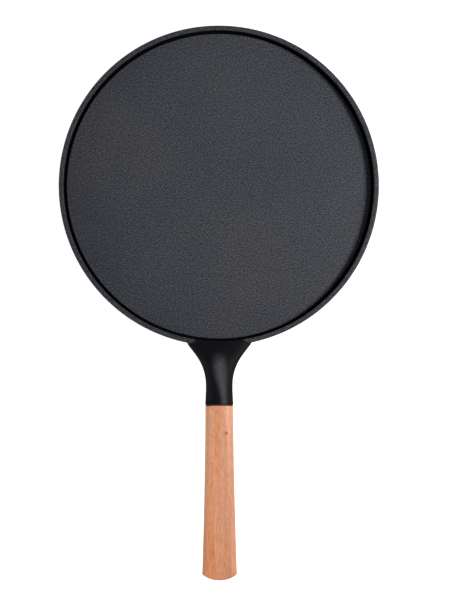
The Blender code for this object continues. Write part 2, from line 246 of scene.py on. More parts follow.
def makeGrainedEnamel():
    material, tree, shader, spot = newMaterial("grainedEnamel", specular=0.30)
    grain = useGroup(tree, fineGrain, spot, (-1000, 200), Scale=enamelLook["grainScale"], Soft=0.15)
    patches = useGroup(tree, softPatches, spot, (-1000, -200), Scale=enamelLook["patchScale"])
    # squared, so that pale specks stand on a darker ground
    specks = addNode(tree, "ShaderNodeMath", (-850, 200), operation="POWER", in_1=2.0)
    tree.links.new(grain.outputs["Mask"], specks.inputs[0])
    base = mixColor(tree, specks.outputs[0], enamelLook["grainDark"], enamelLook["grainLight"], (-700, 200))
    shade = mixColor(tree, patches.outputs["Mask"], enamelLook["dulled"], enamelLook["wiped"], (-700, -100))
    drift = useGroup(tree, softPatches, spot, (-1000, -400), Scale=enamelLook["driftScale"])
    tint = mixColor(tree, drift.outputs["Mask"], enamelLook["cool"], enamelLook["warm"], (-700, -300))
    shade = mixColor(tree, 1.0, shade, tint, (-550, -100), "MULTIPLY")
    tone = mixColor(tree, 1.0, base, shade, (-400, 100), "MULTIPLY")
    # the rim, outside the plate, is a little darker than what is cooked on
    flat = addNode(tree, "ShaderNodeVectorMath", (-1000, 600), operation="MULTIPLY")
    flat.inputs[1].default_value = (1.0, 1.0, 0.0)
    reach = addNode(tree, "ShaderNodeVectorMath", (-850, 600), operation="LENGTH")
    tree.links.new(spot, flat.inputs[0])
    tree.links.new(flat.outputs[0], reach.inputs[0])
    outside = addNode(tree, "ShaderNodeMapRange", (-700, 600),
                      in_1=enamelLook["rimFrom"], in_2=enamelLook["rimFull"], in_3=0.0, in_4=1.0)
    tree.links.new(reach.outputs["Value"], outside.inputs[0])
    rimmed = mixColor(tree, 1.0, tone, enamelLook["rimTone"], (-300, 400), "MULTIPLY")
    tone = mixColor(tree, outside.outputs[0], tone, rimmed, (-150, 300))
    tree.links.new(tone, shader.inputs["Base Color"])
    rough = mapRange(tree, grain.outputs["Mask"], 0.72, 0.56, (-400, -200))
    tree.links.new(rough, shader.inputs["Roughness"])
    addBump(tree, grain.outputs["Height"], shader, 0.7, 0.0004, place=(-300, -400))
    return material


def makeSmoothEnamel(name, dark, light, specular, roughLow, roughHigh, paintedHighlight=False):
    material, tree, shader, spot = newMaterial(name, specular=specular)
    peel = useGroup(tree, fineGrain, spot, (-1000, 200), Scale=enamelLook["peelScale"], Soft=0.4)
    patches = useGroup(tree, softPatches, spot, (-1000, -200), Scale=enamelLook["cloudScale"])
    tone = mixColor(tree, patches.outputs["Mask"], dark, light, (-700, 200))
    if paintedHighlight:
        # painted highlight on the neck's crest, broken up by the grain
        crest = paintedCrestHighlight(tree, spot)
        broken = addNode(tree, "ShaderNodeMath", (-500, 600), operation="MULTIPLY")
        tree.links.new(crest, broken.inputs[0])
        tree.links.new(mapRange(tree, peel.outputs["Mask"], 0.30, 1.70, (-700, 500)), broken.inputs[1])
        tone = mixColor(tree, broken.outputs[0], tone, enamelLook["paintedHighlight"], (-400, 300))
    tree.links.new(tone, shader.inputs["Base Color"])
    rough = mapRange(tree, peel.outputs["Mask"], roughLow, roughHigh, (-400, -200))
    tree.links.new(rough, shader.inputs["Roughness"])
    addBump(tree, peel.outputs["Height"], shader, 0.9, 0.0005, place=(-300, -400))
    return material


def paintedCrestHighlight(tree, spot):
    # painted highlight: the top of the neck is made paler in a band that drifts sideways towards the grip, standing
    # in for the lamps' sheen on its crest
    join = tree.links.new

    def combined(kind, first, second, place):
        node = addNode(tree, "ShaderNodeMath", place, operation=kind)
        for value, socket in ((first, node.inputs[0]), (second, node.inputs[1])):
            if isinstance(value, bpy.types.NodeSocket):
                join(value, socket)
            else:
                socket.default_value = value
        return node.outputs[0]

    def ranged(value, fromLow, fromHigh, low, high, place):
        node = addNode(tree, "ShaderNodeMapRange", place, interpolation_type="SMOOTHSTEP",
                       in_1=fromLow, in_2=fromHigh, in_3=low, in_4=high)
        join(value, node.inputs[0])
        return node.outputs[0]

    parts = addNode(tree, "ShaderNodeSeparateXYZ", (-2400, 600))
    join(spot, parts.inputs[0])
    side, along, high = parts.outputs
    middle = ranged(along, paintedHighlightBand["rootEnd"], paintedHighlightBand["gripEnd"], paintedHighlightBand["rootDrift"], paintedHighlightBand["gripDrift"], (-2200, 700))
    width = ranged(along, paintedHighlightBand["rootEnd"], paintedHighlightBand["gripEnd"], paintedHighlightBand["rootWidth"], paintedHighlightBand["gripWidth"], (-2200, 500))
    away = combined("ABSOLUTE", combined("SUBTRACT", side, middle, (-2000, 700)), 0.0, (-1850, 700))
    share = combined("DIVIDE", away, width, (-1700, 700))
    band = ranged(share, 0.0, 1.0, 1.0, 0.0, (-1550, 700))
    onset = ranged(along, paintedHighlightBand["start"], paintedHighlightBand["full"], 0.0, 1.0, (-2200, 300))
    onTop = ranged(high, paintedHighlightBand["lowest"], paintedHighlightBand["highest"], 0.0, 1.0, (-2200, 100))
    fading = ranged(along, paintedHighlightBand["rootEnd"], paintedHighlightBand["gripEnd"], 1.0, paintedHighlightBand["gripShare"], (-2200, 0))
    strength = combined("MULTIPLY", combined("MULTIPLY", onset, onTop, (-1800, 300)), fading, (-1700, 300))
    return combined("MULTIPLY", band, strength, (-1400, 500))


beechLook = {
    "pale": (0.745, 0.350, 0.205),
    "mid": (0.700, 0.302, 0.155),
    "deep": (0.615, 0.245, 0.120),
    "fleck": (0.40, 0.150, 0.070),
    "knot": (0.36, 0.085, 0.045),
    "knotPlace": (0.0061, 0.0100, 0.0250),
    "knotSize": (0.0021, 0.0100, 0.0023),
    "streak": (0.74, 0.215, 0.110),
    "streakPlace": (0.0054, 0.0100, 0.0278),
    "streakSize": (0.0019, 0.0100, 0.0056),
    "fresh": (1.06, 1.11, 1.17),
    "held": (0.95, 0.87, 0.79),
    # painted light on the left side of the grip, and painted sheen on its right
    "paintedSideLight": (1.17, 1.20, 1.22),
    "paintedSheenSide": (0.88, 0.94, 1.05),
    "endGrain": (0.42, 0.205, 0.120),
    "paintedSideFrom": -0.013,    # across the grip, where the painted paler side begins and the painted greyer side ends
    "paintedSideTo": 0.013,
    "freshFrom": 0.005,       # along the grip
    "heldTo": 0.150,
}
# the sizes of the grain, and how much two of them darken and lighten the wood
beechGrain = {
    "broadScale": (150.0, 90.0, 5.0),
    "fineScale": (760.0, 760.0, 110.0),
    "fibreScale": (1300.0, 1300.0, 230.0),
    "dashScale": (1500.0, 1500.0, 210.0),
    "fine": [(0.30, (0.91, 0.84, 0.77)), (0.50, grey(1.0)), (0.70, (1.04, 1.08, 1.11))],
    "fibres": [(0.33, (0.88, 0.81, 0.74)), (0.50, grey(1.0)), (0.67, (1.06, 1.10, 1.14))],
}


def addPinKnot(tree, along, tone):
    # a small dark knot on the top side, with a warm streak running from it
    join = tree.links.new
    for center, size, tint, strength in (
            (beechLook["streakPlace"], beechLook["streakSize"], beechLook["streak"], 0.55),
            (beechLook["knotPlace"], beechLook["knotSize"], beechLook["knot"], 0.9)):
        shift = addNode(tree, "ShaderNodeVectorMath", (-800, 1100), operation="SUBTRACT")
        shift.inputs[1].default_value = center
        scale = addNode(tree, "ShaderNodeVectorMath", (-650, 1100), operation="DIVIDE")
        scale.inputs[1].default_value = size
        away = addNode(tree, "ShaderNodeVectorMath", (-500, 1100), operation="LENGTH")
        join(along, shift.inputs[0])
        join(shift.outputs[0], scale.inputs[0])
        join(scale.outputs[0], away.inputs[0])
        mask = addNode(tree, "ShaderNodeMapRange", (-350, 1100), interpolation_type="SMOOTHSTEP",
                       in_1=0.2, in_2=1.0, in_3=strength, in_4=0.0)
        join(away.outputs["Value"], mask.inputs[0])
        tone = mixColor(tree, mask.outputs[0], tone, tint, (500, 600))
    return tone


def makeBeech(name, endGrain=0.0, shift=0.0):
    material, tree, shader, spot = newMaterial(name, specular=0.24)
    join = tree.links.new
    # turns the pattern so that its z runs along the grip
    turn = addNode(tree, "ShaderNodeMapping", (-1200, 0), vector_type="TEXTURE")
    turn.inputs["Location"].default_value = joint["place"] + Vector((shift, 0.0, 0.0))
    turn.inputs["Rotation"].default_value = (math.radians(90.0) - joint["tilt"], 0.0, 0.0)
    join(spot, turn.inputs["Vector"])
    along = turn.outputs[0]

    def stretched(scale, place, detail=3.0, rough=0.55, distortion=0.0, slant=0.0):
        squeeze = addNode(tree, "ShaderNodeMapping", (place[0] - 200, place[1]))
        squeeze.inputs["Scale"].default_value = scale
        squeeze.inputs["Rotation"].default_value = (0.0, slant, 0.0)
        join(along, squeeze.inputs["Vector"])
        noise = addNode(tree, "ShaderNodeTexNoise", place, in_2=1.0, in_3=detail, in_4=rough, in_8=distortion)
        join(squeeze.outputs[0], noise.inputs["Vector"])
        return noise.outputs[0]

    def toned(tone, pattern, stops, place):
        ramp = addRamp(tree, stops, (place[0] - 200, place[1]))
        join(pattern, ramp.inputs[0])
        return mixColor(tree, 1.0, tone, ramp.outputs[0], place, "MULTIPLY")

    broad = stretched(beechGrain["broadScale"], (-800, 500), 3.0, 0.5, 0.3, 0.02)
    fine = stretched(beechGrain["fineScale"], (-800, 200), 4.0, 0.6, 0.2, 0.03)
    fibres = stretched(beechGrain["fibreScale"], (-800, -100), 2.0, 0.6)
    dash = stretched(beechGrain["dashScale"], (-800, -400), 1.0, 0.4)
    broadStops = [(0.34, beechLook["deep"]), (0.50, beechLook["mid"]), (0.66, beechLook["pale"])]
    broadTone = addRamp(tree, broadStops, (-500, 500))
    join(broad, broadTone.inputs[0])
    tone = toned(broadTone.outputs[0], fine, beechGrain["fine"], (-250, 400))
    tone = toned(tone, fibres, beechGrain["fibres"], (-50, 300))
    # paler at the joint and redder towards the butt, where it is held
    parts = addNode(tree, "ShaderNodeSeparateXYZ", (-800, 800))
    join(along, parts.inputs[0])
    held = addNode(tree, "ShaderNodeMapRange", (-500, 800),
                   in_1=beechLook["freshFrom"], in_2=beechLook["heldTo"], in_3=0.0, in_4=1.0)
    join(parts.outputs["Z"], held.inputs[0])
    heldStops = [(0.0, beechLook["fresh"]), (0.42, grey(1.0)), (1.0, beechLook["held"])]
    tone = toned(tone, held.outputs[0], heldStops, (100, 300))
    # painted light: a little paler down the left side, which the key leaves in shade, and greyer down the right, a
    # painted sheen where the key falls
    paintedSideLight = addNode(tree, "ShaderNodeMapRange", (-500, 1000), interpolation_type="SMOOTHSTEP",
                      in_1=beechLook["paintedSideFrom"], in_2=beechLook["paintedSideTo"], in_3=0.0, in_4=1.0)
    join(parts.outputs["X"], paintedSideLight.inputs[0])
    sideStops = [(0.0, beechLook["paintedSideLight"]), (0.5, grey(1.0)), (1.0, beechLook["paintedSheenSide"])]
    tone = toned(tone, paintedSideLight.outputs[0], sideStops, (150, 300))
    dashMask = addRamp(tree, [(0.68, grey(0.0)), (0.78, grey(0.35))], (-500, -400))
    join(dash, dashMask.inputs[0])
    tone = mixColor(tree, dashMask.outputs[0], tone, beechLook["fleck"], (250, 300))
    if endGrain:
        tone = mixColor(tree, endGrain, tone, beechLook["endGrain"], (400, 300))
    else:
        tone = addPinKnot(tree, along, tone)
    join(tone, shader.inputs["Base Color"])
    join(mapRange(tree, fine, 0.60, 0.46, (0, -100)), shader.inputs["Roughness"])
    first = addBump(tree, fine, None, 0.25, 0.0002, place=(0, -300))
    addBump(tree, fibres, shader, 0.2, 0.0001, under=first, place=(200, -300))
    return material


steelGrain = {"grainScale": 2400.0, "patchScale": 160.0}
fibreLook = {"dark": (0.085, 0.026, 0.013), "light": (0.21, 0.070, 0.034), "grainScale": 1800.0}


def makeSteel(name, dark, light, roughLow, roughHigh):
    material, tree, shader, spot = newMaterial(name, metallic=1.0)
    grain = useGroup(tree, fineGrain, spot, (-1000, 200), Scale=steelGrain["grainScale"], Soft=0.4)
    patches = useGroup(tree, softPatches, spot, (-1000, -200), Scale=steelGrain["patchScale"])
    base = mixColor(tree, patches.outputs["Mask"], dark, light, (-700, 200))
    tree.links.new(base, shader.inputs["Base Color"])
    rough = mapRange(tree, grain.outputs["Mask"], roughLow, roughHigh, (-400, -200))
    tree.links.new(rough, shader.inputs["Roughness"])
    addBump(tree, grain.outputs["Height"], shader, 0.2, 0.00005, place=(-300, -400))
    return material


def makeFibre():
    material, tree, shader, spot = newMaterial("redFibre", specular=0.25)
    grain = useGroup(tree, fineGrain, spot, (-1000, 200), Scale=fibreLook["grainScale"], Soft=0.5)
    base = mixColor(tree, grain.outputs["Mask"], fibreLook["dark"], fibreLook["light"], (-700, 200))
    tree.links.new(base, shader.inputs["Base Color"])
    shader.inputs["Roughness"].default_value = 0.8
    addBump(tree, grain.outputs["Height"], shader, 0.5, 0.0001, place=(-300, -400))
    return material


grainedEnamel = makeGrainedEnamel()
smoothEnamel = makeSmoothEnamel(
    "smoothEnamel", enamelLook["smoothDark"], enamelLook["smoothLight"], 0.10, 0.52, 0.68, paintedHighlight=True)
# the gutter's darker coat is painted shade in the deep narrow groove
gutterShadeEnamel = makeSmoothEnamel(
    "gutterShadeEnamel", enamelLook["gutterShadeDark"], enamelLook["gutterShadeLight"], 0.05, 0.72, 0.85)
beechSide = makeBeech("beechSide")
beechEnd = makeBeech("beechEnd", endGrain=0.50)
plugBeech = makeBeech("plugBeech", endGrain=0.62, shift=0.031)
redFibre = makeFibre()
boltSteel = makeSteel("boltSteel", (0.42, 0.42, 0.43), (0.60, 0.60, 0.61), 0.24, 0.40)
ringSteel = makeSteel("ringSteel", (0.30, 0.30, 0.31), (0.45, 0.45, 0.46), 0.30, 0.48)
washerSteel = makeSteel("washerSteel", (0.52, 0.53, 0.54), (0.68, 0.68, 0.67), 0.26, 0.42)
bushSteel = makeSteel("bushSteel", (0.40, 0.39, 0.37), (0.55, 0.54, 0.52), 0.28, 0.42)
print("materials made")


def finishPiece(bm, name, materials, node, levels=0, place=None, sharpAngle=None):
    if place is not None:
        bmesh.ops.transform(bm, matrix=place, verts=bm.verts)
    for face in bm.faces:
        face.smooth = True
    mesh = bpy.data.meshes.new(name)
    bm.to_mesh(mesh)
    bm.free()
    piece = bpy.data.objects.new(name, mesh)
    bpy.context.scene.collection.objects.link(piece)
    for material in materials:
        mesh.materials.append(material)
    if sharpAngle is not None:
        mesh.set_sharp_from_angle(angle=math.radians(sharpAngle))
    if levels:
        smooth = piece.modifiers.new("smooth", "SUBSURF")
        smooth.levels = levels
        smooth.render_levels = levels
    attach(piece, "root")
    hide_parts(node)
    print("piece", name, len(mesh.polygons), "faces")
    return piece


def made(result, kind):
    return [item for item in result["geom"] if isinstance(item, kind)]


def turnedSolid(corners, steps, closed=True, segments=3):
    # an outline rounded at each corner by the corner's own radius, and spun right round
    bm = bmesh.new()
    verts = [bm.verts.new((x, 0.0, z)) for x, z, _ in corners]
    pairs = list(zip(verts, verts[1:])) + ([(verts[-1], verts[0])] if closed else [])
    for first, second in pairs:
        bm.edges.new((first, second))
    for vert, (_, _, radius) in zip(verts, corners):
        if radius:
            bmesh.ops.bevel(
                bm, geom=[vert], offset=radius, offset_type="OFFSET", affect="VERTICES",
                segments=segments, profile=0.5, material=-1)
    bmesh.ops.spin(
        bm, geom=bm.verts[:] + bm.edges[:], cent=(0, 0, 0), axis=(0, 0, 1), dvec=(0, 0, 0),
        angle=math.tau, steps=steps, use_merge=True, use_duplicate=False)
    bmesh.ops.remove_doubles(bm, verts=bm.verts, dist=0.000002)
    bmesh.ops.recalc_face_normals(bm, faces=bm.faces)
    return bm


def ovalPoint(angle, halfWidth, halfHeight, squareness):
    power = 2.0 / squareness
    c, s = math.cos(angle), math.sin(angle)
    return (halfWidth * math.copysign(abs(c) ** power, c), halfHeight * math.copysign(abs(s) ** power, s))


def ringWalk(bm, rings, segments):
    # each ring is (z, half width, half height, squareness); the loop is extruded from one to the next
    turnLayer = bm.verts.layers.float.new("turn")
    first = bmesh.ops.create_circle(bm, cap_ends=False, segments=segments, radius=1.0)["verts"]
    for vert in first:
        vert[turnLayer] = math.atan2(vert.co.y, vert.co.x)

    def shape(verts, ring):
        z, halfWidth, halfHeight, squareness = ring
        for vert in verts:
            x, y = ovalPoint(vert[turnLayer], halfWidth, halfHeight, squareness)
            vert.co = (x, y, z(x, y) if callable(z) else z)

    shape(first, rings[0])
    edges = list({edge for vert in first for edge in vert.link_edges})
    firstEdges = list(edges)
    faceRows = []
    for ring in rings[1:]:
        result = bmesh.ops.extrude_edge_only(bm, edges=edges)
        verts, edges = made(result, bmesh.types.BMVert), made(result, bmesh.types.BMEdge)
        faceRows.append(made(result, bmesh.types.BMFace))
        shape(verts, ring)
    return firstEdges, edges, faceRows


panBody = {
    "turnSteps": 256,
    "patchSteps": 7,          # columns of the neck's root each side of its middle
    "rootInner": 8.8,         # degrees that the root covers at the rim's inner edge
    "rootTop": 10.8,          # at the rim's outer top edge
    "rootFoot": 12.6,         # near the foot of the wall
    "rootEase": 22.0,         # where the columns are regular again
    "topRise": 0.01473,
    "topEase": 3.4,
    "belly": 0.0061,
    "bellyEase": 2.6,
    "flareHalf": 0.0184,
    "flareLength": 0.038,
    "flareEase": 2.4,
    "waistHalf": 0.0116,
    "flareSquare": 1.9,       # section of the neck where it flares, nearly a ridge
    "jointSquare": 2.3,
    "settle": 0.0032,         # how fast the root's own outline gives way to the neck's
    "neckSteps": 20,
    "coatDrop": 0.0007,       # how far the grained coat comes down over an edge
    "levels": 1,
}
# the neck's line begins inside the rim and ends at the joint
neckStart = pan["rimRadius"] - pan["rimWidth"] + 0.0006
neckSpan = -joint["place"].y - neckStart


def makePanBody():
    rim, top = pan["rimRadius"], pan["rimHeight"]
    well = rim - pan["rimWidth"]
    foot = rim - 0.0018
    corners = [
        (0.0, pan["plateTop"], 0.0),
        (0.060, pan["plateTop"], 0.0),
        (0.120, pan["plateTop"], 0.0),
        (pan["plateRadius"] - 0.0040, pan["plateTop"], 0.0),
        (pan["plateRadius"], pan["plateTop"], 0.0006),
        (pan["plateRadius"] + 0.0001, pan["gutterFloor"], 0.0006),
        (well - 0.0002, pan["gutterFloor"], 0.0006),
        (well, 0.5 * (pan["gutterFloor"] + top), 0.0),
        (well, top, 0.0006),
        (well + 0.0016, top, 0.0),
        (rim, top, 0.0012),
        (rim - 0.0003, 0.0105, 0.0),
        (rim - 0.0007, 0.0083, 0.0),
        (rim - 0.0011, 0.0061, 0.0),
        (foot + 0.0002, 0.0042, 0.0),
        (foot, 0.0, 0.0026),
        (0.120, 0.0, 0.0),
        (0.1000, 0.0, 0.0003),
        (0.0993, 0.0007, 0.0003),
        (0.0967, 0.0007, 0.0003),
        (0.0960, 0.0, 0.0003),
        (0.060, 0.0, 0.0),
        (0.0, 0.0, 0.0),
    ]
    steps = panBody["turnSteps"]
    bm = turnedSolid(corners, steps, closed=False, segments=4)
    # the grained coat covers the plate and the rim's top, the gutter gets a darker coat that is painted shade for
    # the narrow groove, the rest is smooth
    for face in bm.faces:
        middle = face.calc_center_median()
        reach = math.hypot(middle.x, middle.y)
        onPlate = middle.z > pan["plateTop"] - panBody["coatDrop"] and reach < pan["plateRadius"] + 0.0001
        onRim = middle.z > top - panBody["coatDrop"] and reach > well
        inGutter = pan["plateRadius"] - 0.0003 < reach < well + 0.0003 and middle.z > 0.5 * pan["gutterFloor"]
        face.material_index = 0 if onPlate or onRim else 2 if inGutter else 1
    growNeck(bm, steps)
    return finishPiece(bm, "panBody", [grainedEnamel, smoothEnamel, gutterShadeEnamel],
                       "pan_body", panBody["levels"])


def neckTop(u):
    lift = math.tan(joint["tilt"]) * u * neckSpan
    return pan["rimHeight"] + lift + panBody["topRise"] * (1.0 - (1.0 - u) ** panBody["topEase"])


def neckBottom(u):
    left = 1.0 - u
    foot = joint["place"].z - joint["halfHeight"]
    return foot - math.tan(joint["tilt"]) * left * neckSpan - panBody["belly"] * left ** panBody["bellyEase"]


def neckHalfWidth(reach):
    flareEnd = pan["rimRadius"] + panBody["flareLength"] - 0.002
    if reach < flareEnd:
        left = (flareEnd - reach) / panBody["flareLength"]
        return panBody["waistHalf"] + panBody["flareHalf"] * left ** panBody["flareEase"]
    out = (reach - flareEnd) / (-joint["place"].y - flareEnd)
    return panBody["waistHalf"] + (joint["halfWidth"] - panBody["waistHalf"]) * max(0.0, out) ** 1.5


def growNeck(bm, steps):
    rim, top = pan["rimRadius"], pan["rimHeight"]
    well = rim - pan["rimWidth"]
    column = 360.0 / steps
    patchAngle = column * panBody["patchSteps"]
    footZ = 0.0016

    def rootAngle(reach, z):
        if z > top - 0.0004:
            share = min(1.0, max(0.0, (reach - well) / (rim - well)))
            return panBody["rootInner"] + (panBody["rootTop"] - panBody["rootInner"]) * share
        if reach < well + 0.001:
            return panBody["rootInner"]
        share = min(1.0, max(0.0, (top - z) / (top - footZ)))
        return panBody["rootTop"] + (panBody["rootFoot"] - panBody["rootTop"]) * share ** 0.7

    across = bm.verts.layers.float.new("across")
    upward = bm.verts.layers.float.new("upward")
    leftover = bm.verts.layers.float_vector.new("leftover")
    crease = bm.edges.layers.float.new("crease_edge")
    # slide the columns near the handle so that the root's outline leans as the neck does
    for vert in bm.verts:
        reach = math.hypot(vert.co.x, vert.co.y)
        if reach < well - 0.001:
            continue
        angle = math.degrees(math.atan2(vert.co.x, -vert.co.y))
        size = abs(angle)
        if size > panBody["rootEase"]:
            continue
        goal = rootAngle(reach, vert.co.z)
        if size <= patchAngle:
            moved = size * goal / patchAngle
        else:
            moved = goal + (size - patchAngle) * (panBody["rootEase"] - goal) / (panBody["rootEase"] - patchAngle)
        moved = math.radians(math.copysign(moved, angle))
        vert.co.x = reach * math.sin(moved)
        vert.co.y = -reach * math.cos(moved)

    patch = []
    for face in bm.faces:
        middle = face.calc_center_median()
        reach = math.hypot(middle.x, middle.y)
        angle = abs(math.degrees(math.atan2(middle.x, -middle.y)))
        if angle > rootAngle(reach, middle.z):
            continue
        if reach > well + 0.0005 and middle.z > footZ:
            patch.append(face)
        elif reach > well - 0.0001 and middle.z > top - panBody["coatDrop"]:
            face.material_index = 1

    # each vertex of the root gets its place across and up, both from -1 to 1
    patchVerts = {vert for face in patch for vert in face.verts}
    wallLength = top - 0.0020

    def travel(vert):
        reach = math.hypot(vert.co.x, vert.co.y)
        if vert.co.z > top - 0.0001:
            return wallLength + (rim - reach)
        return min(wallLength, vert.co.z - 0.0020)

    travels = [travel(vert) for vert in patchVerts]
    lowest, highest = min(travels), max(travels)
    for vert in patchVerts:
        reach = math.hypot(vert.co.x, vert.co.y)
        angle = math.degrees(math.atan2(vert.co.x, -vert.co.y))
        vert[across] = max(-1.0, min(1.0, angle / rootAngle(reach, vert.co.z)))
        vert[upward] = 2.0 * (travel(vert) - lowest) / (highest - lowest) - 1.0
    print("neck root", len(patch), "faces", len(patchVerts), "verts")

    end = -joint["place"].y

    def roundSpot(vert):
        a, b = vert[across], vert[upward]
        return a * math.sqrt(1.0 - 0.5 * b * b), b * math.sqrt(1.0 - 0.5 * a * a)

    def sectionPoint(vert, reach, grow=0.0):
        u = max(0.0, (reach - neckStart) / neckSpan)
        high, low = neckTop(u), neckBottom(u)
        halfWidth, halfHeight = neckHalfWidth(reach) + grow, 0.5 * (high - low) + grow
        height, lean = 0.5 * (high + low), joint["tilt"] * u
        x, y = roundSpot(vert)
        size = math.hypot(x, y)
        if size > 1e-6:
            angle = math.atan2(y, x)
            squareness = panBody["flareSquare"] + (panBody["jointSquare"] - panBody["flareSquare"]) * u ** 2
            bulge = (abs(math.cos(angle)) ** squareness + abs(math.sin(angle)) ** squareness) ** (-1.0 / squareness)
            x, y = x * bulge, y * bulge
        rise = y * halfHeight
        return Vector((x * halfWidth, -reach + rise * math.sin(lean), height + rise * math.cos(lean)))

    base = rim - 0.0035
    for vert in patchVerts:
        vert[leftover] = vert.co - sectionPoint(vert, base)

    def extrude(faces):
        result = bmesh.ops.extrude_face_region(bm, geom=faces)
        verts, newFaces = made(result, bmesh.types.BMVert), made(result, bmesh.types.BMFace)
        stale = [face for face in faces if face.is_valid and face not in newFaces]
        if stale:
            bmesh.ops.delete(bm, geom=stale, context="FACES_ONLY")
        return verts, newFaces

    faces = patch
    for face in faces:
        face.material_index = 1
    count = panBody["neckSteps"]
    stops = [base + (end - base) * (i / count) ** 1.35 for i in range(1, count)]
    stops += [end - 0.0012, end - 0.0003]
    for reach in stops:
        verts, faces = extrude(faces)
        fade = math.exp(-(reach - base) / panBody["settle"])
        for vert in verts:
            vert.co = sectionPoint(vert, reach) + Vector(vert[leftover]) * fade
    # the end face, then the keyed spigot with the bush's hole in it
    verts, faces = extrude(faces)
    for vert in verts:
        vert.co = sectionPoint(vert, end, -0.0003)
    width, height = joint["spigot"]
    key = joint["keySquare"]
    inner = [
        (0.0000, width + 0.0010, height + 0.0010, 2.4),
        (0.0000, width, height, key),
        (0.0116, width, height, key),
        (0.0120, width - 0.0004, height - 0.0004, key),
        (0.0120, 0.0046, 0.0046, 2.0),
        (0.0116, 0.0044, 0.0044, 2.0),
        (-0.0030, 0.0044, 0.0044, 2.0),
    ]
    for z, halfWidth, halfHeight, squareness in inner:
        verts, faces = extrude(faces)
        for vert in verts:
            x, y = roundSpot(vert)
            size = min(1.0, math.hypot(x, y))
            px, py = ovalPoint(math.atan2(y, x), halfWidth, halfHeight, squareness)
            vert.co = handleFrame @ Vector((px * size, py * size, z))
    for edge in bm.edges:
        if not edge.is_manifold:
            continue
        kinds = {face.material_index for face in edge.link_faces}
        if kinds == {0, 1} and all(math.hypot(v.co.x, v.co.y) > well + 0.0002 for v in edge.verts):
            edge[crease] = 0.75
    bmesh.ops.recalc_face_normals(bm, faces=bm.faces)


makePanBody()


grip = {
    "start": 0.0014,
    "length": 0.1503,
    "frontHalfWidth": 0.0120,
    "frontHalfHeight": 0.0103,
    "swellWidth": 0.0030,
    "swellHeight": 0.0014,
    "swellEase": 1.6,
    "frontSquare": 2.4,       # the oval section at the joint, squarer further on
    "buttSquare": 3.8,
    "squareBy": 0.4,          # share of the length over which that happens
    "crown": 0.0048,
    "edgeRound": 0.0008,
    "holeRadius": 0.0065,
    "holeDepth": 0.0160,
    "plugRadius": 0.0063,
    "plugSeat": 0.1447,
    "skin": 0.00002,          # keeps the wood just inside the CAD's
    "boreRadius": 0.0034,
    "mortiseDepth": 0.0123,
    "segments": 64,
}


def gripSection(z, inset=0.0):
    run = max(0.0, (z - grip["start"]) / (grip["length"] - grip["start"]))
    share = run ** grip["swellEase"]
    halfWidth = grip["frontHalfWidth"] + grip["swellWidth"] * share
    halfHeight = grip["frontHalfHeight"] + grip["swellHeight"] * share - grip["skin"]
    square = grip["frontSquare"] + (grip["buttSquare"] - grip["frontSquare"]) * min(1.0, run / grip["squareBy"])
    return (z, halfWidth - inset, halfHeight - inset, square)


def gripDome(x, y, sink=0.0):
    # the butt is crowned from side to side and straight from top to bottom
    halfWidth = grip["frontHalfWidth"] + grip["swellWidth"]
    return grip["length"] - grip["skin"] - grip["crown"] * (x / halfWidth) ** 2 - sink


def domeRing(sink, halfWidth, halfHeight, square):
    return (lambda x, y: gripDome(x, y, sink), halfWidth, halfHeight, square)


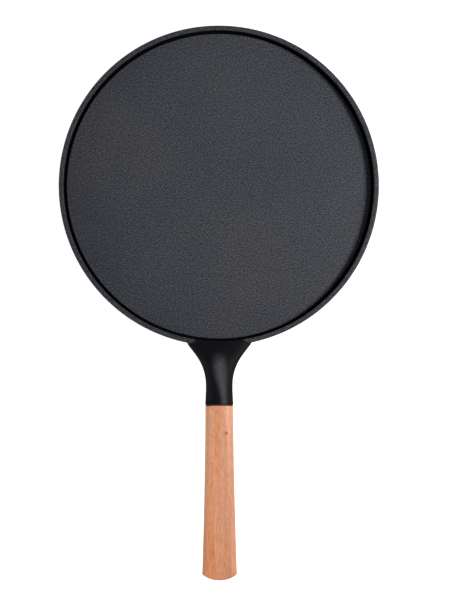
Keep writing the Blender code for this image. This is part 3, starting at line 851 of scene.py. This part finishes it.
def makeGrip():
    start, hole, bore, mortise = grip["start"], grip["holeRadius"], grip["boreRadius"], grip["mortiseDepth"]
    width, height = joint["mortise"]
    key = joint["keySquare"]
    rings = [(start, width, height, key), (start, width + 0.0005, height + 0.0005, 2.5)]
    rings += [gripSection(start, 0.0012), gripSection(start, 0.0004), gripSection(start + 0.0001, 0.0001)]
    soft = grip["edgeRound"]
    runStart, runEnd = start + 0.0005, grip["length"] - grip["crown"] - 2.5 * soft
    rings += [gripSection(runStart + (runEnd - runStart) * i / 24) for i in range(25)]
    _, lastWidth, lastHeight, square = gripSection(grip["length"], grip["skin"])
    rings += [domeRing(sink, lastWidth - inset, lastHeight - inset, square) for sink, inset in (
        (1.6 * soft, 0.0), (soft, 0.0), (0.5 * soft, 0.13 * soft), (0.13 * soft, 0.5 * soft), (0.0, soft))]
    lastWidth, lastHeight = lastWidth - soft, lastHeight - soft
    sideRows = len(rings) - 1
    # the end runs in to the plug's hole, from an oval to a circle
    rim = hole + 0.0002
    for i in range(1, 8):
        share = i / 7
        rings.append(domeRing(0.0, lastWidth + (rim - lastWidth) * share, lastHeight + (rim - lastHeight) * share,
                              square + (2.0 - square) * share))
    rings.append(domeRing(0.0003, hole, hole, 2.0))
    floor = grip["length"] - grip["holeDepth"]
    inside = ((grip["length"] - 0.0060, hole), (floor + 0.0004, hole), (floor, hole - 0.0004),
              (floor, bore + 0.0004), (floor - 0.0004, bore), (0.070, bore),
              (mortise + 0.0004, bore), (mortise, bore + 0.0004))
    rings += [(z, radius, radius, 2.0) for z, radius in inside]
    rings += [(mortise, width - 0.0004, height - 0.0004, key), (mortise - 0.0004, width, height, key),
              (start + 0.0006, width, height, key)]
    bm = bmesh.new()
    firstEdges, lastEdges, rows = ringWalk(bm, rings, grip["segments"])
    for index, row in enumerate(rows):
        for face in row:
            face.material_index = 0 if 3 <= index < sideRows + 1 else 1
    bmesh.ops.bridge_loops(bm, edges=firstEdges + lastEdges)
    bmesh.ops.recalc_face_normals(bm, faces=bm.faces)
    finishPiece(bm, "beechGrip", [beechSide, beechEnd], "wood_handle", 1, handleFrame)

    # the plug that hides the bolt's head, turned from the same wood and sanded flush
    low, radius = grip["plugSeat"], grip["plugRadius"]
    rings = [(low, radius * 0.35, radius * 0.35, 2.0), (low, radius * 0.7, radius * 0.7, 2.0),
             (low, radius - 0.0006, radius - 0.0006, 2.0), (low + 0.0006, radius, radius, 2.0),
             (grip["length"] - 0.0035, radius, radius, 2.0), domeRing(0.0002, radius, radius, 2.0)]
    rings += [domeRing(0.0, radius * share, radius * share, 2.0) for share in (0.97, 0.75, 0.45, 0.2)]
    bm = bmesh.new()
    firstEdges, lastEdges, _ = ringWalk(bm, rings, 48)
    bmesh.ops.contextual_create(bm, geom=firstEdges)
    bmesh.ops.contextual_create(bm, geom=lastEdges)
    bmesh.ops.recalc_face_normals(bm, faces=bm.faces)
    finishPiece(bm, "buttPlug", [plugBeech], "butt_plug", 1, handleFrame)


makeGrip()


washer = {"bottom": 0.0003, "thickness": 0.0008, "inset": 0.0001}


def makeHeatWasher():
    low, high = washer["bottom"], washer["bottom"] + washer["thickness"]
    halfWidth, halfHeight = joint["halfWidth"] - washer["inset"], joint["halfHeight"] - washer["inset"]
    holeWidth, holeHeight = joint["mortise"]
    key, square = joint["keySquare"], panBody["jointSquare"]
    rings = [
        (low, holeWidth, holeHeight, key), (low, halfWidth - 0.0004, halfHeight - 0.0004, square),
        (low + 0.0001, halfWidth - 0.0001, halfHeight - 0.0001, square),
        (low + 0.0003, halfWidth, halfHeight, square), (high - 0.0003, halfWidth, halfHeight, square),
        (high - 0.0001, halfWidth - 0.0001, halfHeight - 0.0001, square),
        (high, halfWidth - 0.0004, halfHeight - 0.0004, square), (high, holeWidth, holeHeight, key),
    ]
    bm = bmesh.new()
    firstEdges, lastEdges, _ = ringWalk(bm, rings, 64)
    bmesh.ops.bridge_loops(bm, edges=firstEdges + lastEdges)
    bmesh.ops.recalc_face_normals(bm, faces=bm.faces)
    return finishPiece(bm, "heatWasher", [redFibre], "heat_washer", 1, handleFrame)


makeHeatWasher()


fixing = {
    "floor": grip["length"] - grip["holeDepth"],
    "gap": 0.0003,
    "flatThickness": 0.0014,
    "flatRadius": 0.0060,
    "springThickness": 0.0016,
    "springRadius": 0.0052,
    "springSlit": 10.0,
    "ringBore": 0.0033,
    "boltRadius": 0.0030,
    "boltReach": 0.0121,      # how far the bolt goes into the bush
    "headRadius": 0.0050,
    "headHeight": 0.0060,
    "socketRadius": 0.0029,
    "socketDepth": 0.0030,
    "bushOuter": 0.0041,
    "bushLength": 0.0140,
    "bushTop": 0.0115,
}


def ringCorners(inner, outer, low, thickness, soft):
    return [(inner, low + thickness, soft), (outer, low + thickness, soft), (outer, low, soft), (inner, low, soft)]


def makeFixings():
    flatSeat = fixing["floor"] + fixing["gap"]
    springSeat = flatSeat + fixing["flatThickness"] + fixing["gap"]
    headSeat = springSeat + fixing["springThickness"] + fixing["gap"]

    bm = turnedSolid(
        ringCorners(fixing["ringBore"], fixing["flatRadius"], flatSeat, fixing["flatThickness"], 0.0002), 64)
    finishPiece(bm, "flatWasher", [washerSteel], "flat_washer", 0, handleFrame, 40)

    # the split ring is one section swept not quite round, its two ends filled
    bm = bmesh.new()
    inner, outer = fixing["ringBore"], fixing["springRadius"]
    section = bmesh.ops.create_grid(bm, x_segments=1, y_segments=1, size=0.5)["verts"]
    bmesh.ops.scale(bm, vec=(outer - inner, fixing["springThickness"], 1.0), verts=section)
    bmesh.ops.rotate(bm, cent=(0, 0, 0), matrix=Matrix.Rotation(math.radians(90.0), 3, "X"), verts=section)
    bmesh.ops.translate(
        bm, vec=(0.5 * (inner + outer), 0.0, springSeat + 0.5 * fixing["springThickness"]), verts=section)
    slit = math.radians(fixing["springSlit"])
    bmesh.ops.rotate(bm, cent=(0, 0, 0), matrix=Matrix.Rotation(0.5 * slit, 3, "Z"), verts=bm.verts)
    bmesh.ops.spin(
        bm, geom=bm.verts[:] + bm.edges[:] + bm.faces[:], cent=(0, 0, 0), axis=(0, 0, 1), dvec=(0, 0, 0),
        angle=math.tau - slit, steps=60, use_merge=False, use_duplicate=False)
    bmesh.ops.recalc_face_normals(bm, faces=bm.faces)
    sharp = [edge for edge in bm.edges if edge.is_manifold and edge.calc_face_angle(0.0) > 0.8]
    bmesh.ops.bevel(bm, geom=sharp, offset=0.00015, affect="EDGES", segments=2, profile=0.5, material=-1)
    finishPiece(bm, "springWasher", [ringSteel], "spring_washer", 0, handleFrame, 40)

    # socket head bolt: turned outline, then the hexagon is pushed into the head
    headTop, tip = headSeat + fixing["headHeight"], fixing["bushTop"] - fixing["boltReach"]
    shank, head, socket = fixing["boltRadius"], fixing["headRadius"], fixing["socketRadius"]
    hexSteps = 48
    corners = [
        (socket * 0.5, headTop, 0.0), (socket * 1.15, headTop, 0.0), (head, headTop, 0.0004),
        (head, headSeat, 0.0002), (shank, headSeat, 0.0), (shank, headSeat - 0.030, 0.0),
        (shank, tip + 0.0009, 0.0), (shank - 0.0009, tip, 0.0), (0.0, tip, 0.0),
    ]
    bm = turnedSolid(corners, hexSteps, closed=False)
    hexLayer = bm.verts.layers.float.new("turn")
    rimEdges = [edge for edge in bm.edges if edge.is_boundary]
    for vert in bm.verts:
        vert[hexLayer] = math.atan2(vert.co.y, vert.co.x)

    def hexRadius(turn, size):
        wedge = math.radians(60.0)
        local = (turn + math.tau) % wedge - 0.5 * wedge
        return size * math.cos(0.5 * wedge) / math.cos(local)

    # bring the open inner loop out to the hexagon's outline, then walk it down
    loopVerts = {vert for edge in rimEdges for vert in edge.verts}
    for vert in loopVerts:
        radius = hexRadius(vert[hexLayer], socket + 0.0002)
        vert.co = (radius * math.cos(vert[hexLayer]), radius * math.sin(vert[hexLayer]), headTop)
    edges = rimEdges
    depth = fixing["socketDepth"]
    for drop, size, square in ((0.0002, socket, 1.0), (depth, socket, 1.0),
                               (depth + 0.0001, socket * 0.8, 0.6), (depth + 0.0009, 0.0, 0.0)):
        result = bmesh.ops.extrude_edge_only(bm, edges=edges)
        verts, edges = made(result, bmesh.types.BMVert), made(result, bmesh.types.BMEdge)
        for vert in verts:
            turn = vert[hexLayer]
            radius = square * hexRadius(turn, size) + (1.0 - square) * size
            vert.co = (radius * math.cos(turn), radius * math.sin(turn), headTop - drop)
    bmesh.ops.remove_doubles(bm, verts=bm.verts, dist=0.000002)
    bmesh.ops.recalc_face_normals(bm, faces=bm.faces)
    finishPiece(bm, "tieBolt", [boltSteel], "tie_bolt", 0, handleFrame, 35)

    # threaded bush: a tube with shallow grooves outside
    outer, inner = fixing["bushOuter"], fixing["ringBore"]
    high, low = fixing["bushTop"], fixing["bushTop"] - fixing["bushLength"]
    corners = [(inner, high, 0.0001), (outer, high, 0.0002)]
    grooves = 5
    for i in range(grooves):
        middle = high - fixing["bushLength"] * (i + 1) / (grooves + 1)
        corners += [(outer, middle + 0.0006, 0.0), (outer - 0.0003, middle + 0.0003, 0.0),
                    (outer - 0.0003, middle - 0.0003, 0.0), (outer, middle - 0.0006, 0.0)]
    corners += [(outer, low, 0.0002), (inner, low, 0.0001)]
    bm = turnedSolid(corners, 48)
    finishPiece(bm, "threadedBush", [bushSteel], "thread_insert", 0, handleFrame, 40)


makeFixings()


studio = {
    "floorDrop": 0.0002,      # clear of the pan's foot
    "lampsAim": (0.0, -0.05, 0.0),
    "cameraPlace": (0.0095, -0.0998, 1.5636),
    "cameraRoll": -0.14,
    "lens": 106.6,
    "keyTurn": 3.0,
    "keyRise": 43.5,
    "keyDistance": 1.5,
    "keySize": 0.42,
    "keyPower": 24.0,
    "fillTurn": 184.0,
    "fillRise": 11.0,
    "fillDistance": 1.5,
    "fillSize": 0.50,
    "fillPower": 5.0,
    "frontTurn": 218.0,
    "frontRise": 11.0,
    "frontDistance": 1.5,
    "frontSize": 0.50,
    "frontPower": 4.5,
    "horizon": 0.70,          # brightness of the room at eye level
    "overhead": 0.08,         # and above the object
    "floorTone": 0.40,
    "floorGlow": 0.97,        # what the floor adds where it is looked at
}


def makeStudio():
    scene = bpy.context.scene
    bm = bmesh.new()
    bmesh.ops.create_circle(bm, cap_ends=True, segments=64, radius=6.0)
    bmesh.ops.translate(bm, vec=(0.0, 0.0, -studio["floorDrop"]), verts=bm.verts)
    mesh = bpy.data.meshes.new("floor")
    bm.to_mesh(mesh)
    bm.free()
    floor = bpy.data.objects.new("floor", mesh)
    scene.collection.objects.link(floor)
    floorPaint = bpy.data.materials.new("floorPaint")
    floorPaint.use_nodes = True
    tree = floorPaint.node_tree
    shader = tree.nodes["Principled BSDF"]
    shader.inputs["Base Color"].default_value = (*grey(studio["floorTone"]), 1.0)
    shader.inputs["Roughness"].default_value = 0.9
    shader.inputs["Specular IOR Level"].default_value = 0.1
    shader.inputs["Emission Color"].default_value = (1.0, 1.0, 1.0, 1.0)
    lightPath = addNode(tree, "ShaderNodeLightPath", (-600, -300))
    glow = addNode(tree, "ShaderNodeMath", (-300, -300), operation="MULTIPLY", in_1=studio["floorGlow"])
    tree.links.new(lightPath.outputs["Is Camera Ray"], glow.inputs[0])
    tree.links.new(glow.outputs[0], shader.inputs["Emission Strength"])
    mesh.materials.append(floorPaint)

    # the room is white all round and dim above, so that the dark coat isn't washed out
    world = bpy.data.worlds.new("whiteRoom")
    scene.world = world
    world.use_nodes = True
    tree = world.node_tree
    spot = addNode(tree, "ShaderNodeTexCoord", (-900, 0))
    parts = addNode(tree, "ShaderNodeSeparateXYZ", (-700, 0))
    tree.links.new(spot.outputs["Generated"], parts.inputs[0])
    dim = [(0.0, grey(studio["horizon"])), (0.15, grey(studio["horizon"])), (0.50, grey(studio["overhead"]))]
    fade = addRamp(tree, dim, (-500, 0))
    tree.links.new(parts.outputs["Z"], fade.inputs[0])
    tree.links.new(fade.outputs[0], tree.nodes["Background"].inputs["Color"])

    middle = Vector(studio["lampsAim"])
    for name in ("key", "fill", "front"):
        turn, rise = math.radians(studio[name + "Turn"]), math.radians(studio[name + "Rise"])
        toward = Vector((math.cos(turn) * math.cos(rise), math.sin(turn) * math.cos(rise), math.sin(rise)))
        lamp = bpy.data.lights.new(name, "AREA")
        lamp.shape = "DISK"
        lamp.size = studio[name + "Size"]
        lamp.energy = studio[name + "Power"]
        lampObject = bpy.data.objects.new(name, lamp)
        scene.collection.objects.link(lampObject)
        lampObject.location = middle + toward * studio[name + "Distance"]
        lampObject.rotation_mode = "QUATERNION"
        lampObject.rotation_quaternion = (-toward).to_track_quat("-Z", "Y")

    camera = bpy.data.cameras.new("camera")
    camera.lens = studio["lens"]
    camera.sensor_width = 36.0
    cameraObject = bpy.data.objects.new("camera", camera)
    scene.collection.objects.link(cameraObject)
    cameraObject.location = studio["cameraPlace"]
    cameraObject.rotation_euler = (0.0, 0.0, math.radians(studio["cameraRoll"]))
    scene.camera = cameraObject
    scene.view_settings.view_transform = "Standard"


makeStudio()
